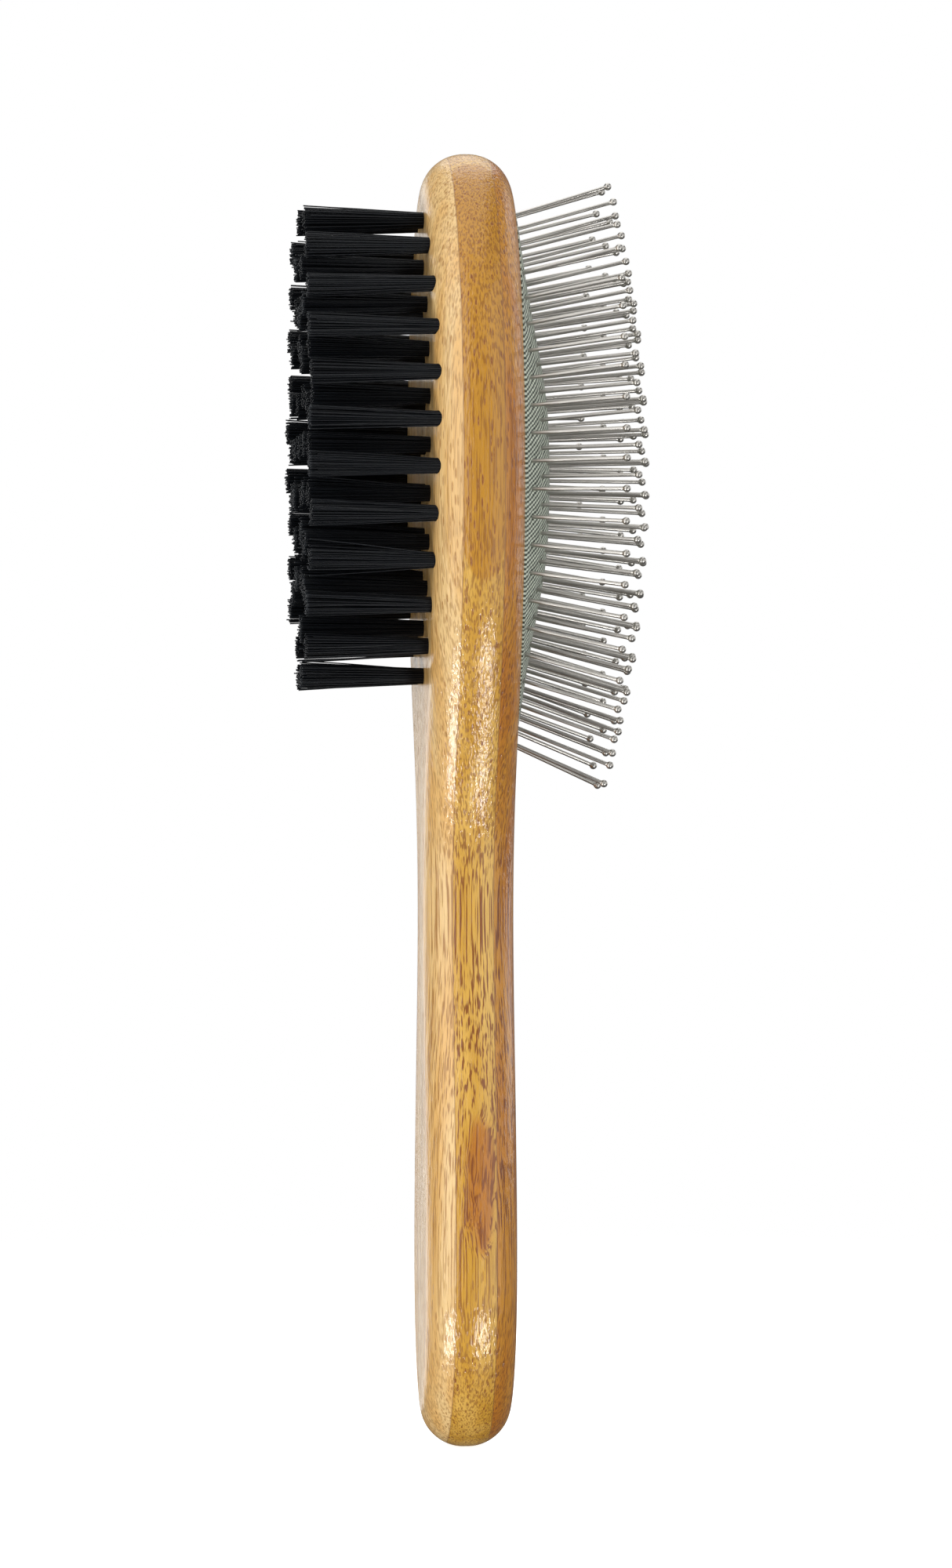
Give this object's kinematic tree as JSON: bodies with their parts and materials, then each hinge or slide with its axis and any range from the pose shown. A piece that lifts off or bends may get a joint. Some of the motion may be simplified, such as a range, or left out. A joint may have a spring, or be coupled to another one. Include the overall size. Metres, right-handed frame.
{
  "type": "double-sided pet brush",
  "caption": "Double-sided pet grooming brush: laminated bamboo handle with nylon bristle tufts on one face and ball-tipped steel pins in a domed fabric-faced cushion on the other.",
  "frame": {"origin": "tip of the handle's butt, in the middle of the wood's thickness and width", "axes": "+Z along the brush from the butt to the top of the head, +X out of the pin face, -X out of the bristle face, Y across the width"},
  "size_m": [0.0627, 0.0526, 0.23],
  "materials": {
    "bamboo_pale": "lacquered bamboo, satin",
    "bamboo_core": "lacquered bamboo, satin",
    "bamboo_outer": "lacquered bamboo, satin",
    "rubber": "moulded natural rubber",
    "cushion_fabric": "woven grey-green cotton",
    "nylon_bristle": "black nylon filament",
    "anchor_wire": "drawn flat wire",
    "pin_steel": "polished nickel-plated steel"
  },
  "bodies": {
    "handle": {"bristle_side_ply": "bamboo_pale", "core_ply": "bamboo_core", "pin_side_ply": "bamboo_outer", "cushion_rubber": "rubber", "cushion_fabric": "cushion_fabric", "outer_ring_tufts_a": "nylon_bristle", "outer_ring_tufts_b": "nylon_bristle", "second_ring_tufts_a": "nylon_bristle", "second_ring_tufts_b": "nylon_bristle", "third_ring_tufts_a": "nylon_bristle", "third_ring_tufts_b": "nylon_bristle", "centre_row_tufts": "nylon_bristle", "outer_ring_anchors": "anchor_wire", "second_ring_anchors": "anchor_wire", "third_ring_anchors": "anchor_wire", "centre_row_anchors": "anchor_wire"},
    "pin_field": {"outer_ring_pins_a": "pin_steel", "outer_ring_pins_b": "pin_steel", "second_ring_pins_a": "pin_steel", "second_ring_pins_b": "pin_steel", "third_ring_pins_a": "pin_steel", "third_ring_pins_b": "pin_steel", "fourth_ring_pins_a": "pin_steel", "fourth_ring_pins_b": "pin_steel", "centre_row_pins": "pin_steel"}
  },
  "joints": [
    {"name": "cushion_press", "type": "slide", "parent": "handle", "child": "pin_field", "axis": [-1, 0, 0], "range_m": [0, 0.0025], "stiffness_N_per_m": 5000, "deforming": ["cushion_rubber", "cushion_fabric"]}
  ]
}
